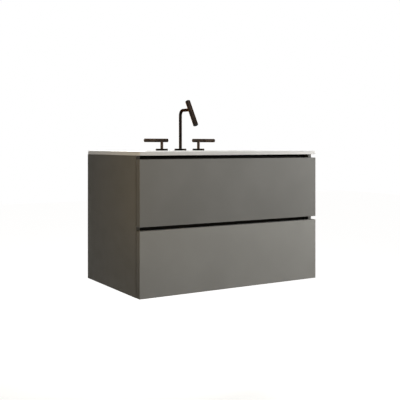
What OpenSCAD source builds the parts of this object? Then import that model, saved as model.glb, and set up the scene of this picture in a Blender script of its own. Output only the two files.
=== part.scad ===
// Wall-hung bathroom vanity: a carcase with two handleless drawers on ball-bearing
// runners, black grip channels, a worktop with a moulded basin, a three-hole tap
// with cross-bar handles, and the waste and bottle trap under the basin.
// Millimetres. +X to the right, -Y to the front, +Z up.
// The origin is on the wall, in the middle of the four wall fixings.

/* [Cabinet] */
// Overall width
body_w = 900; // [800:10:1200]
// Depth from the wall to the face of the drawer fronts
body_d = 536; // [480:1:600]
// Depth of the middle of the wall fixings below the worktop's surface
hang_drop = 84; // [82:1:96]
// Thickness of the side panels
side_t = 18; // [16:1:22]
// Thickness of the bottom panel
base_t = 16; // [15:1:19]
// Thickness of the rails between the sides
rail_t = 16; // [15:1:19]
// Height of the rail under the back edge of the worktop
back_top_rail_h = 100; // [92:1:120]
// Height of the rail along the back of the bottom panel
back_low_rail_h = 80; // [60:1:120]
// Space between the back rails and the wall
back_space = 18; // [16:1:20]
// Rounding of the side panels' edges
side_ease = 0.8; // [0.5:0.1:2]

/* [Fronts and grip channels] */
// Height of each drawer front
front_h = 269; // [240:1:300]
// Thickness of each drawer front
front_t = 30; // [18:1:34]
// Rounding of the fronts' edges
front_ease = 2.5; // [1:0.5:4]
// Height of the open gap above each front
grip_gap = 15; // [12:1:20]
// Gap between the back of a front and the carcase
reveal = 3; // [2:0.5:4]
// Depth of a grip channel
channel_d = 28; // [24:1:30]
// Wall of a grip channel
channel_t = 1.8; // [1.5:0.1:3]
// How far a channel reaches down behind the front's top edge
finger_drop = 38; // [30:1:40]
// How far the middle channel reaches up behind the upper front
channel_rise = 5; // [3:1:8]
// Rounding of a channel's back corners
channel_r = 9; // [5:1:10]
// Height of the upstand along a channel's lower edge
channel_lip = 5; // [3:1:8]

/* [Drawer boxes] */
// Space between a drawer box and the back rails
box_room = 22; // [12:1:60]
// Thickness of the box sides, front and back
box_t = 15; // [12:1:16]
// Space between the upper box and the basin's waste above it
basin_room = 20; // [16:1:40]
// Space between the lower box and the middle grip channel above it
channel_room = 25; // [10:1:60]
// Height of the upper box above the underside of its front
upper_box_lift = 18; // [15:1:22]
// Height of the lower box above the underside of its front
lower_box_lift = 26; // [24:1:30]
// Thickness of the drawer floors
floor_t = 8; // [6:1:10]
// How far a floor is let into the boards round it
groove_d = 5; // [4:1:7]
// Height of a floor above the lower edge of its box
groove_up = 10; // [8:1:14]
// Width of the upper drawer's pipe cut-out
cutout_w = 250; // [240:5:300]
// Clear length of the cut-out in front of the waste
cutout_ahead = 60; // [50:1:80]
// Wall of the guard round the cut-out
guard_t = 12; // [8:1:15]
// Inner corner radius of the guard
guard_r = 30; // [15:1:50]
// Radius of a bumper on the back of a front
bumper_r = 4; // [3:0.5:5]

/* [Runners] */
// Distance from a runner's back end to the back of its box
runner_back = 2; // [0:1:20]
// Width between the side panel and the drawer box
runner_t = 12.7; // [12.7:0.1:14]
// Height of a runner
runner_h = 45; // [44:1:50]
// How much less than a runner's length a drawer travels
travel_short = 10; // [10:1:60]
// Height of the upper runner above the underside of its box
upper_runner_up = 65; // [55:1:80]
// Height of the lower runner above the underside of its box
lower_runner_up = 80; // [55:1:100]
// Radius of a runner ball
ball_r = 1.6; // [1.5:0.05:1.7]
// Balls in one row of a cage
ball_count = 5; // [3:1:6]

/* [Worktop and basin] */
// Thickness of the worktop
top_t = 16; // [12:1:20]
// Rounding of the worktop's edges
top_ease = 1.5; // [1:0.5:3]
// Rounding of the worktop's corners, seen from above
top_corner = 5; // [3:0.5:8]
// Width of the bowl at the rim
bowl_w = 500; // [460:5:560]
// Distance from the face of the fronts to the bowl's front rim
bowl_front = 96; // [90:1:140]
// Depth of the bowl
bowl_depth = 110; // [100:1:114]
// Distance from the wall to the bowl's back rim
bowl_back = 140; // [130:1:142]
// Corner radius of the bowl's rim
bowl_corner = 70; // [60:1:90]
// Share of the bowl's half length that its sloping walls take
bowl_slope = 0.6; // [0.5:0.01:0.65]
// Wall of the bowl
bowl_wall = 12; // [10:1:14]
// Fall of the bowl's floor to the waste
floor_fall = 5; // [3:0.5:6]
// Distance from the bowl's back rim to the waste
waste_back = 130; // [120:1:150]
// Depth of the overflow below the worktop
overflow_drop = 34; // [30:1:40]
// Radius of the overflow hole
overflow_r = 12; // [10:0.5:13]

/* [Tap] */
// Distance from the spout to each handle
tap_pitch = 101.6; // [90:0.1:130]
// Distance from the wall to the tap
tap_back = 68; // [64:1:72]
// Radius of the holes in the worktop
tap_hole_r = 16; // [15.5:0.1:17]
// Radius of a flange
flange_r = 29; // [26:0.5:32]
// Height of a flange
flange_h = 9; // [5:0.5:12]
// Radius of a handle's stem
stem_r = 7; // [5:0.5:8]
// Radius of a handle's bar
bar_r = 8.5; // [7:0.5:10]
// Height of the bars above the worktop
bar_z = 48.5; // [44:0.5:60]
// Length of a bar from its stem towards the spout
bar_in = 32; // [20:1:40]
// Length of a bar from its stem away from the spout
bar_out = 92; // [60:1:100]
// Radius of the spout tube
spout_r = 7.5; // [6:0.5:8.5]
// Height of the spout's arm above the worktop
arm_z = 193; // [170:1:220]
// Bend radius of the spout
bend_r = 25; // [20:1:35]
// Reach from the spout's column to the axis of its head
head_reach = 97; // [80:1:120]
// Radius of the spout's head
head_r = 12; // [11:0.5:14]
// Tilt of the head from upright
head_tilt = 33.4; // [20:0.1:45]
// Length of the head below the arm
head_below = 88; // [70:1:90]
// Length of the head above the arm
head_above = 49; // [35:1:60]
// Radius of the threaded shanks under the worktop
shank_r = 13; // [12:0.5:14]
// Length of the shanks below the worktop's surface
shank_len = 60; // [50:1:70]
// Radius of a supply inlet, half-inch thread
inlet_r = 10.48; // [8:0.01:11]
// Length of a supply inlet
inlet_len = 14; // [10:1:18]
// Radius of a linking outlet
port_r = 7; // [6:0.5:8]

/* [Waste and trap] */
// Radius of the waste's flange
waste_flange_r = 32; // [30:0.5:34]
// Thickness of the waste's flange
waste_flange_t = 3; // [2:0.5:4]
// Radius of the waste's thread, inch and a quarter
waste_r = 20.95; // [20:0.05:21.5]
// Bore of the waste
waste_bore_r = 17; // [15:0.5:17.5]
// Length of the waste's tube
waste_len = 85; // [80:1:95]
// Radius of the plug
plug_r = 29; // [27:0.5:29.5]
// Radius of the trap's body
trap_r = 31; // [29:0.5:34]
// Height of the trap's body under its neck
trap_h = 46; // [44:1:52]
// Depth of the trap's cup
cup_h = 72; // [55:1:80]
// Radius of the outlet pipe
pipe_r = 16; // [14:0.5:17]
// Wall of the outlet pipe
pipe_wall = 1.8; // [1.5:0.1:2.5]

/* [Hangers] */
// Distance from a side panel to the middle of a wall plate
plate_in = 32; // [30:1:40]
// Width of a wall plate
plate_w = 60; // [50:1:60]
// Thickness of a wall plate
plate_t = 3; // [2.5:0.1:3.5]
// Height between the two fixings of a wall plate
fixing_pitch = 24; // [20:1:28]
// Radius of a wall fixing
fixing_r = 3.3; // [2.5:0.1:3.5]
// Thickness of a hanging hook
hook_t = 3; // [2.5:0.1:3.5]
// Width of a hanging hook
hook_w = 14; // [12:1:16]
// Width of a hanger's housing
hanger_w = 24; // [22:1:26]
// Depth of a hanger's housing
hanger_d = 44; // [40:1:50]
// Height of a hanger's housing
hanger_h = 62; // [60:1:64]

/* [Hidden] */
$fn = 64;

// Colours
cabinet_grey = "#7b7a75";
carcase_grey = "#6c6a66";
box_grey = "#9b9993";
channel_black = "#14130f";
stone_white = "#efece6";
bronze_black = "#262320";
zinc = "#b9bcc0";
brass = "#b59a5b";
rubber_black = "#1c1c1c";
trap_white = "#e4e6e6";
chrome_grey = "#c9ccd0";

// Clearances
fit = 0.1;        // board in its groove, screw in its hole
running = 0.06;   // shaft in its bore, on the radius
air = 0.3;        // between things that move past each other
cut_past = 5;     // how far a cut runs past the face it opens

// Heights, from the worktop's surface down
deck_z = hang_drop;
carcase_z = deck_z - top_t;
top_gap_z = carcase_z - grip_gap;
upper_z = top_gap_z - front_h;
gap_z = upper_z - grip_gap;
base_z = gap_z - front_h;

// Depths, from the front back to the wall
front_y = -body_d;
front_back_y = front_y + front_t;
carcase_y = front_back_y + reveal;
rail_y = carcase_y + channel_d;
back_rail_y = -back_space - rail_t;
box_back_y = back_rail_y - box_room;
box_d = box_back_y - front_back_y;

// Widths
inner_x = body_w / 2 - side_t;
box_w = 2 * (inner_x - runner_t);
box_inner_x = box_w / 2 - box_t;

// The basin's floor, and the boss under it that holds the waste
floor_z = deck_z - bowl_depth;
boss_h = 10;
boss_z = floor_z - bowl_wall - boss_h;

// The drawer boxes
upper_box_z = upper_z + upper_box_lift;
lower_box_z = base_z + lower_box_lift;
upper_box_h = boss_z - basin_room - upper_box_z;
lower_box_h = gap_z - finger_drop - channel_room - lower_box_z;

// ---- Shared shapes ----

// A rectangle with rounded corners, its lower left corner at the origin
module round_square(size, r) {
    translate([r, 0]) square([size[0] - 2 * r, size[1]]);
    translate([0, r]) square([size[0], size[1] - 2 * r]);
    for (x = [r, size[0] - r], y = [r, size[1] - r])
        translate([x, y]) circle(r);
}

// A board with all its edges rounded; corner rounds its plan
module eased_board(size, ease, corner) {
    intersection() {
        linear_extrude(size[2]) round_square([size[0], size[1]], corner);
        translate([0, size[1], 0]) rotate([90, 0, 0])
            linear_extrude(size[1]) round_square([size[0], size[2]], ease);
        rotate([90, 0, 90])
            linear_extrude(size[0]) round_square([size[1], size[2]], ease);
    }
}

// A rod standing on the origin with its two ends chamfered
module eased_rod(r, h, ease) {
    rotate_extrude()
        polygon([[0, 0], [r - ease, 0], [r, ease], [r, h - ease], [r - ease, h], [0, h]]);
}

// A washer or tube standing on the origin
module ring(outer, inner, h) {
    rotate_extrude() translate([inner, 0]) square([outer - inner, h]);
}

module hex_nut(flats, bore, h) {
    difference() {
        cylinder(r = flats / 2 / cos(30), h = h, $fn = 6);
        translate([0, 0, -1]) cylinder(r = bore, h = h + 2);
    }
}

// Left and right copies of what is made for the left side
module both_sides() {
    children();
    mirror([1, 0, 0]) children();
}

// ---- Carcase ----

// Cams and bolts that hold each board between the sides:
// [depth of the cam's mouth, its height, turn that faces it, board's thickness]
cam_r = 7.5;
cam_depth = 12.5;
cam_in = 24;         // cam's centre from the side panel
bolt_r = 3;
bolt_head_r = 3.5;
bolt_bite = 11;      // thread in the side panel
up = [0, 0, 0];
back = [-90, 0, 0];
forward = [90, 0, 0];
base_bolt_inset = 70;
front_rail_mid_z = (top_gap_z - finger_drop + carcase_z) / 2;
middle_rail_mid_z = (gap_z - finger_drop + upper_z + channel_rise) / 2;
cam_rows = [
    [carcase_y + base_bolt_inset, base_z + base_t, up, base_t],
    [-base_bolt_inset - back_space, base_z + base_t, up, base_t],
    [rail_y + rail_t, front_rail_mid_z, back, rail_t],
    [rail_y + rail_t, middle_rail_mid_z, back, rail_t],
    [back_rail_y, carcase_z - back_top_rail_h + cam_r + 5, forward, rail_t],
    [back_rail_y, base_z + base_t + back_low_rail_h / 2, forward, rail_t]
];

// Puts a child at each cam on the left, with +Z out of the cam's mouth
module at_left_cams() {
    for (row = cam_rows)
        translate([-inner_x + cam_in, row[0], row[1]]) rotate(row[2])
            children();
}

// The bores in the boards and in the sides for the cams and their bolts
module cam_bores() {
    both_sides() for (row = cam_rows)
        translate([-inner_x + cam_in, row[0], row[1]]) rotate(row[2]) {
            translate([0, 0, -cam_depth - fit]) cylinder(r = cam_r + fit, h = cam_depth + 1);
            translate([0, 0, -row[3] / 2]) rotate([0, -90, 0])
                cylinder(r = bolt_head_r + fit, h = cam_in);
            translate([-cam_in, 0, -row[3] / 2]) rotate([0, -90, 0])
                cylinder(r = bolt_r + fit / 2, h = bolt_bite + fit);
        }
}

module cam_locks() {
    color(zinc) both_sides() for (row = cam_rows)
        translate([-inner_x + cam_in, row[0], row[1]]) rotate(row[2]) difference() {
            translate([0, 0, -cam_depth]) eased_rod(cam_r, cam_depth - 0.3, 0.4);
            // cross slot for the screwdriver
            for (turn = [0, 90]) rotate([0, 0, turn])
                translate([-4, -0.8, -2.5]) cube([8, 1.6, 4]);
            translate([0, 0, -row[3] / 2]) rotate([0, -90, 0])
                cylinder(r = bolt_head_r + fit, h = cam_r + 1);
        }
}

module cam_bolts() {
    head = 3;
    color(chrome_grey) both_sides() for (row = cam_rows)
        translate([-inner_x + cam_in, row[0], row[1]]) rotate(row[2])
            translate([0, 0, -row[3] / 2]) rotate([0, -90, 0]) {
                translate([0, 0, fit]) cylinder(r = bolt_head_r, h = head);
                translate([0, 0, fit]) cylinder(r = bolt_r - 1, h = cam_r + 4);
                translate([0, 0, cam_r + 2]) cylinder(r = bolt_r, h = cam_in - cam_r - 2 + bolt_bite);
            }
}

module side_panel() {
    difference() {
        translate([-inner_x - side_t, carcase_y, base_z])
            eased_board([side_t, -carcase_y, carcase_z - base_z], side_ease, side_ease);
        cam_bores();
    }
}

module left_side_panel() {
    color(cabinet_grey) side_panel();
}

module right_side_panel() {
    color(cabinet_grey) mirror([1, 0, 0]) side_panel();
}

module bottom_panel() {
    color(carcase_grey) difference() {
        translate([-inner_x, carcase_y, base_z]) cube([2 * inner_x, -carcase_y, base_t]);
        cam_bores();
    }
}

module front_rail() {
    color(carcase_grey) difference() {
        translate([-inner_x, rail_y, top_gap_z - finger_drop])
            cube([2 * inner_x, rail_t, finger_drop + grip_gap]);
        cam_bores();
    }
}

module middle_rail() {
    color(carcase_grey) difference() {
        translate([-inner_x, rail_y, gap_z - finger_drop])
            cube([2 * inner_x, rail_t, finger_drop + grip_gap + channel_rise]);
        cam_bores();
    }
}

module back_top_rail() {
    color(carcase_grey) difference() {
        translate([-inner_x, back_rail_y, carcase_z - back_top_rail_h])
            cube([2 * inner_x, rail_t, back_top_rail_h]);
        cam_bores();
        both_sides() hook_slot();
    }
}

module back_low_rail() {
    color(carcase_grey) difference() {
        translate([-inner_x, back_rail_y, base_z + base_t])
            cube([2 * inner_x, rail_t, back_low_rail_h]);
        cam_bores();
    }
}

// Outline of a grip channel from its end: X runs back, Y runs up, open at X = 0
module channel_section(h) {
    difference() {
        intersection() {
            translate([-channel_d, 0]) round_square([2 * channel_d, h], channel_r);
            square([channel_d, h]);
        }
        translate([-channel_d, channel_t])
            round_square([2 * channel_d - channel_t, h - 2 * channel_t], channel_r - channel_t);
    }
    square([channel_t, channel_lip]);
}

module channel(z, h) {
    translate([-inner_x, carcase_y, z]) rotate([90, 0, 90])
        linear_extrude(2 * inner_x) channel_section(h);
}

module top_grip_channel() {
    color(channel_black) channel(top_gap_z - finger_drop, finger_drop + grip_gap);
}

module middle_grip_channel() {
    color(channel_black)
        channel(gap_z - finger_drop, finger_drop + grip_gap + channel_rise);
}

// ---- Hangers ----

plate_foot = 12;                        // plate below the lower fixing
plate_low_z = -fixing_pitch / 2 - plate_foot;
step_rise = 10;                         // from the upper fixing to the step
step_z = fixing_pitch / 2 + step_rise;  // where the plate steps away from the wall
plate_step = 2 * hook_t;                // space behind the stepped lip
lip_h = 21;
plate_top_z = step_z + plate_t + lip_h;
hook_drop = 16;                         // how far the hook reaches behind the lip
hook_x = -inner_x + hanger_w / 2;
hanger_top_z = plate_top_z + hook_t + 8;
hanger_y = back_rail_y - hanger_d;
slot_margin = 3;

// The plate's side view: X runs towards the front, Y runs up
module plate_section() {
    translate([0, plate_low_z]) square([plate_t, step_z + plate_t - plate_low_z]);
    translate([0, step_z]) square([plate_step + plate_t, plate_t]);
    translate([plate_step, step_z]) square([plate_t, lip_h + plate_t]);
}

module wall_plates() {
    color(zinc) both_sides() translate([-inner_x + plate_in, 0, 0]) difference() {
        translate([-plate_w / 2, 0, 0]) rotate([90, 0, 90]) mirror([1, 0, 0])
            linear_extrude(plate_w) plate_section();
        for (z = [-fixing_pitch / 2, fixing_pitch / 2])
            translate([0, 1, z]) rotate([90, 0, 0]) cylinder(r = fixing_r, h = plate_t + 2);
    }
}

// The hook from its side: over the lip, and forward into the housing
module hook_section() {
    tooth = (plate_step - hook_t) / 2;
    translate([tooth, plate_top_z - hook_drop]) square([hook_t, hook_drop + air + hook_t]);
    translate([tooth, plate_top_z + air])
        square([-hanger_y - tooth - 8, hook_t]);
}

module hanger_hooks() {
    color(zinc) both_sides() translate([hook_x - hook_w / 2, 0, 0])
        rotate([90, 0, 90]) mirror([1, 0, 0]) linear_extrude(hook_w) hook_section();
}

// Opening in the back rail that the hook goes through
module hook_slot() {
    low = plate_top_z - hook_drop - slot_margin;
    translate([hook_x - hook_w / 2 - slot_margin, back_rail_y - 1, low])
        cube([hook_w + 2 * slot_margin, rail_t + 2, plate_top_z + hook_t + slot_margin - low]);
}

hanger_screw_r = 4;
hanger_screw_h = 11;
hanger_screw_seat = 12;                 // from the housing's face to a screw's inner end
hanger_screw_drop = 14;                 // upper screw below the plate's top edge
hanger_screw_pitch = 20;
hanger_screw_z = [
    plate_top_z - hanger_screw_drop,
    plate_top_z - hanger_screw_drop - hanger_screw_pitch
];

module hanger_bodies() {
    cheek = (hanger_w - hook_w) / 2 - air;
    color(zinc) both_sides()
        translate([-inner_x, hanger_y, hanger_top_z - hanger_h]) difference() {
            eased_board([hanger_w, hanger_d, hanger_h], 1.5, 1.5);
            // slot that the hook slides in
            translate([cheek, 6, plate_top_z - hanger_top_z + hanger_h])
                cube([hanger_w - 2 * cheek, hanger_d, hook_t + 2 * air]);
            // hollow front of the casting
            translate([cheek, -1, 4]) cube([hanger_w - 2 * cheek, 9, 6]);
            for (z = hanger_screw_z)
                translate([hanger_w / 2, -1, z - hanger_top_z + hanger_h])
                    rotate([-90, 0, 0])
                        cylinder(r = hanger_screw_r + fit, h = hanger_screw_seat + 1);
        }
}

module hanger_screws() {
    color(chrome_grey) both_sides() for (z = hanger_screw_z)
        translate([hook_x, hanger_y + hanger_screw_seat, z]) rotate([90, 0, 0]) difference() {
            eased_rod(hanger_screw_r, hanger_screw_h, 0.6);
            for (turn = [0, 90]) rotate([0, 0, turn])
                translate([-2.6, -0.6, hanger_screw_h - 2]) cube([5.2, 1.2, 3]);
        }
}

// ---- Runners ----

// Seen from the end: X runs from the side panel to the drawer box, Y runs up
sheet_t = 1.5;        // flanges
web_t = 1.2;
race_d = 0.4;         // depth of a ball race
race_air = 0.05;
outer_ball_x = 5.6;
inner_ball_x = 7;
outer_ball_y = runner_h / 2 - sheet_t + race_d - race_air - ball_r;
mid_top_y = outer_ball_y - ball_r - race_air + race_d;
inner_ball_y = mid_top_y - sheet_t + race_d - race_air - ball_r;
slide_top_y = inner_ball_y - ball_r - race_air + race_d;
lip_t = 1;
lip_air = 0.9;
mid_web_x = 2.6;
outer_flange_x = 9.2;
mid_flange_x = 10.4;
slide_flange_x = 5;
race_r = ball_r + race_air;

module races(x, y) {
    for (s = [-1, 1]) translate([x, s * y]) circle(race_r);
}

// Upper and lower halves of a runner member
module top_and_bottom() {
    children();
    mirror([0, 1]) children();
}

module rail_section() {
    translate([0, -runner_h / 2]) square([web_t, runner_h]);
    difference() {
        top_and_bottom() {
            translate([0, runner_h / 2 - sheet_t]) square([outer_flange_x, sheet_t]);
            translate([outer_flange_x - lip_t, mid_top_y + lip_air])
                square([lip_t, runner_h / 2 - mid_top_y - lip_air]);
        }
        races(outer_ball_x, outer_ball_y);
    }
}

module middle_section() {
    translate([mid_web_x, -mid_top_y]) square([web_t, 2 * mid_top_y]);
    difference() {
        top_and_bottom() {
            translate([mid_web_x, mid_top_y - sheet_t])
                square([mid_flange_x - mid_web_x, sheet_t]);
            translate([mid_flange_x - lip_t, slide_top_y + lip_air])
                square([lip_t, mid_top_y - slide_top_y - lip_air]);
        }
        races(outer_ball_x, outer_ball_y);
        races(inner_ball_x, inner_ball_y);
    }
}

module slide_section() {
    translate([runner_t - web_t, -slide_top_y]) square([web_t, 2 * slide_top_y]);
    difference() {
        top_and_bottom()
            translate([slide_flange_x, slide_top_y - sheet_t])
                square([runner_t - slide_flange_x, sheet_t]);
        races(inner_ball_x, inner_ball_y);
    }
}

runner_front_y = carcase_y + 5;
runner_back_y = box_back_y - runner_back;
runner_len = runner_back_y - runner_front_y;
drawer_travel = runner_len - travel_short;
runner_mid_y = (runner_front_y + runner_back_y) / 2;
cage_end = 12;        // shortest distance from a cage to a member's end
cage_len = runner_len - drawer_travel / 2 - 2 * cage_end;
cage_t = 0.6;
cage_strip = 1;

// A pair of runner members whose middle line is at height z
module member_pair(z) {
    both_sides() translate([-inner_x, runner_back_y, z]) rotate([90, 0, 0])
        linear_extrude(runner_len) children();
}

// A pair of ball cages: web from web_x, strips to edge_x, balls at ball_x and ball_y
module cage_pair(z, web_x, edge_x, ball_x, ball_y) {
    pitch = cage_len / ball_count;
    both_sides() translate([-inner_x, runner_mid_y, z]) {
        difference() {
            translate([0, cage_len / 2, 0]) rotate([90, 0, 0]) linear_extrude(cage_len) {
                translate([web_x, -ball_y - cage_strip / 2])
                    square([cage_t, 2 * ball_y + cage_strip]);
                for (s = [-1, 1]) translate([web_x, s * ball_y - cage_strip / 2])
                    square([edge_x - web_x, cage_strip]);
            }
            for (i = [0 : ball_count - 1], s = [-1, 1])
                translate([ball_x, (i - (ball_count - 1) / 2) * pitch, s * ball_y - cage_strip])
                    cylinder(r = race_r + 0.02, h = 2 * cage_strip);
        }
        for (i = [0 : ball_count - 1], s = [-1, 1])
            translate([ball_x, (i - (ball_count - 1) / 2) * pitch, s * ball_y]) sphere(ball_r);
    }
}

module outer_cages(z) {
    cage_pair(z, web_t + 0.4, outer_flange_x - lip_t - 0.6, outer_ball_x, outer_ball_y);
}

module inner_cages(z) {
    cage_pair(z, mid_web_x + web_t + 0.3, mid_flange_x - lip_t - 0.6, inner_ball_x, inner_ball_y);
}

upper_runner_z = upper_box_z + upper_runner_up;
lower_runner_z = lower_box_z + lower_runner_up;

module upper_runner_rails() { color(zinc) member_pair(upper_runner_z) rail_section(); }
module lower_runner_rails() { color(zinc) member_pair(lower_runner_z) rail_section(); }
module upper_runner_middles() { color(zinc) member_pair(upper_runner_z) middle_section(); }
module lower_runner_middles() { color(zinc) member_pair(lower_runner_z) middle_section(); }
module upper_runner_slides() { color(zinc) member_pair(upper_runner_z) slide_section(); }
module lower_runner_slides() { color(zinc) member_pair(lower_runner_z) slide_section(); }
module upper_outer_cages() { color(brass) outer_cages(upper_runner_z); }
module lower_outer_cages() { color(brass) outer_cages(lower_runner_z); }
module upper_inner_cages() { color(brass) inner_cages(upper_runner_z); }
module lower_inner_cages() { color(brass) inner_cages(lower_runner_z); }

// ---- Drawers ----

screw_inset = 60;     // screws from the box's sides
screw_margin = 28;    // screws from the box's upper and lower edges
screw_r = 2;
screw_bite = 15;
screw_head_r = 4.5;

// Puts a child at each screw of a box, at the front's back face
module at_front_screws(box_z, box_h) {
    for (x = [-1, 1], z = [screw_margin, box_h - screw_margin])
        translate([x * (box_w / 2 - screw_inset), front_back_y, box_z + z]) children();
}

module drawer_front(z, box_z, box_h) {
    color(cabinet_grey) difference() {
        translate([-body_w / 2, front_y, z])
            eased_board([body_w, front_t, front_h], front_ease, front_ease);
        at_front_screws(box_z, box_h) translate([0, 1, 0]) rotate([90, 0, 0])
            cylinder(r = screw_r + fit / 2, h = screw_bite + fit + 1);
    }
}

// The groove in the inner faces of a box, that its floor sits in
module floor_groove(box_z) {
    translate([-box_inner_x - groove_d, front_back_y + box_t - groove_d, box_z + groove_up])
        cube([2 * (box_inner_x + groove_d), box_d - 2 * (box_t - groove_d), floor_t + fit]);
}

module box_front(box_z, box_h) {
    color(box_grey) difference() {
        translate([-box_inner_x, front_back_y, box_z]) cube([2 * box_inner_x, box_t, box_h]);
        floor_groove(box_z);
        at_front_screws(box_z, box_h) translate([0, box_t + 1, 0]) rotate([90, 0, 0])
            cylinder(r = screw_r + fit, h = box_t + 2);
    }
}

module box_sides(box_z, box_h) {
    color(box_grey) both_sides() difference() {
        translate([-box_w / 2, front_back_y, box_z]) cube([box_t, box_d, box_h]);
        floor_groove(box_z);
    }
}

module front_screws(box_z, box_h) {
    head_h = 2.6;
    grip = screw_bite + box_t;
    color(chrome_grey) at_front_screws(box_z, box_h) translate([0, -screw_bite, 0])
        rotate([-90, 0, 0]) difference() {
            rotate_extrude() polygon([
                [0, 0], [screw_r, 3], [screw_r, grip], [screw_head_r, grip],
                [screw_head_r, grip + head_h - 1], [screw_head_r - 1.4, grip + head_h],
                [0, grip + head_h]
            ]);
            for (turn = [0, 90]) rotate([0, 0, turn])
                translate([-2.2, -0.5, grip + 1]) cube([4.4, 1, 3]);
        }
}

// Soft stops on the back of a front, opposite the side panels' edges
module bumpers(z) {
    low = 40;         // above the front's lower edge
    high = 60;        // below its upper edge
    color(rubber_black)
        for (x = [-1, 1], up = [low, front_h - high])
            translate([x * (body_w / 2 - side_t / 2), front_back_y, z + up]) rotate([-90, 0, 0])
                eased_rod(bumper_r, reveal - air, 0.5);
}

module upper_front() { drawer_front(upper_z, upper_box_z, upper_box_h); }
module lower_front() { drawer_front(base_z, lower_box_z, lower_box_h); }
module upper_box_front() { box_front(upper_box_z, upper_box_h); }
module lower_box_front() { box_front(lower_box_z, lower_box_h); }
module upper_box_sides() { box_sides(upper_box_z, upper_box_h); }
module lower_box_sides() { box_sides(lower_box_z, lower_box_h); }
module upper_front_screws() { front_screws(upper_box_z, upper_box_h); }
module lower_front_screws() { front_screws(lower_box_z, lower_box_h); }
module upper_bumpers() { bumpers(upper_z); }
module lower_bumpers() { bumpers(base_z); }

module box_floor(box_z) {
    edge = groove_d - fit;
    translate([-box_inner_x - edge, front_back_y + box_t - edge, box_z + groove_up])
        cube([2 * (box_inner_x + edge), box_d - 2 * (box_t - edge), floor_t]);
}

module lower_box_back() {
    color(box_grey) difference() {
        translate([-box_inner_x, box_back_y - box_t, lower_box_z])
            cube([2 * box_inner_x, box_t, lower_box_h]);
        floor_groove(lower_box_z);
    }
}

module lower_box_floor() {
    color(box_grey) box_floor(lower_box_z);
}

// Plan of the pipe cut-out, grown on all sides, running out at the back
module cutout_plan(grow) {
    w = cutout_w + 2 * grow;
    cutout_y = waste_y - cutout_ahead - grow;
    translate([-w / 2, cutout_y])
        round_square([w, box_back_y - cutout_y + 2 * (guard_r + grow)], guard_r + grow);
}

module upper_box_floor() {
    color(box_grey) difference() {
        box_floor(upper_box_z);
        translate([0, 0, upper_box_z]) linear_extrude(upper_box_h) cutout_plan(0);
    }
}

module upper_box_back() {
    color(box_grey) difference() {
        translate([-box_inner_x, box_back_y - box_t, upper_box_z])
            cube([2 * box_inner_x, box_t, upper_box_h]);
        translate([0, 0, upper_box_z - 1]) linear_extrude(upper_box_h + 2) cutout_plan(guard_t);
        floor_groove(upper_box_z);
    }
}

module upper_pipe_guard() {
    stand = groove_up + floor_t;
    color(box_grey) translate([0, 0, upper_box_z + stand]) intersection() {
        linear_extrude(upper_box_h - stand) difference() {
            cutout_plan(guard_t);
            cutout_plan(0);
        }
        translate([-body_w / 2, front_y, 0]) cube([body_w, box_back_y - front_y, upper_box_h]);
    }
}

// ---- Worktop and basin ----

seat_z = floor_z - floor_fall;
waste_y = -bowl_back - waste_back;
bowl_l = body_d - bowl_front - bowl_back;
bowl_y = -bowl_back - bowl_l / 2;
bowl_sweep = bowl_slope * bowl_l / 2;      // how far the walls run inwards from rim to floor
floor_straight = 10;                       // half of the floor's side between its corners
floor_corner = bowl_l / 2 - bowl_sweep - floor_straight;
boss_r = 45;

// Rings of the bowl's shape, rim_z down to low_z along a quarter of an ellipse, grown by grow
module bowl_rings(rim_z, low_z, grow) {
    for (a = [0 : 15 : 90], x = [-1, 1], y = [-1, 1]) {
        inset = bowl_sweep * (1 - cos(a));
        corner = grow + bowl_corner + (floor_corner - bowl_corner) * (1 - cos(a));
        translate([
            x * (bowl_w / 2 + grow - inset - corner),
            bowl_y + y * (bowl_l / 2 + grow - inset - corner),
            rim_z + (low_z - rim_z) * sin(a)
        ]) cylinder(r = corner, h = 0.5, $fn = 32);
    }
}

// A solid lump round the bowl, its skin this far outside the bowl's own
module bowl_lump(grow) {
    hull() bowl_rings(deck_z - top_t / 2, floor_z - grow, grow);
}

// The overflow sits square to the sloping back wall of the bowl
overflow_a = asin(overflow_drop / bowl_depth);
overflow_y = -bowl_back - bowl_sweep * (1 - cos(overflow_a));
overflow_lean = atan(bowl_sweep * sin(overflow_a) / (bowl_depth * cos(overflow_a)));
overflow_flange_r = overflow_r + 3;
overflow_seat = 1.5;
overflow_len = 8;
duct_t = 6;           // passage that leads the overflow down to the waste
duct_wall = 4;
duct_w = 50;

module at_overflow() {
    translate([0, overflow_y, deck_z - overflow_drop]) rotate([90 - overflow_lean, 0, 0])
        children();
}

// The part of a lump that lies behind the bowl, from the waste to below the worktop
module behind_bowl(w, low_z, high_z) {
    intersection() {
        children();
        translate([-w / 2, waste_y, low_z]) cube([w, -waste_y, high_z - low_z]);
    }
}

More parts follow.
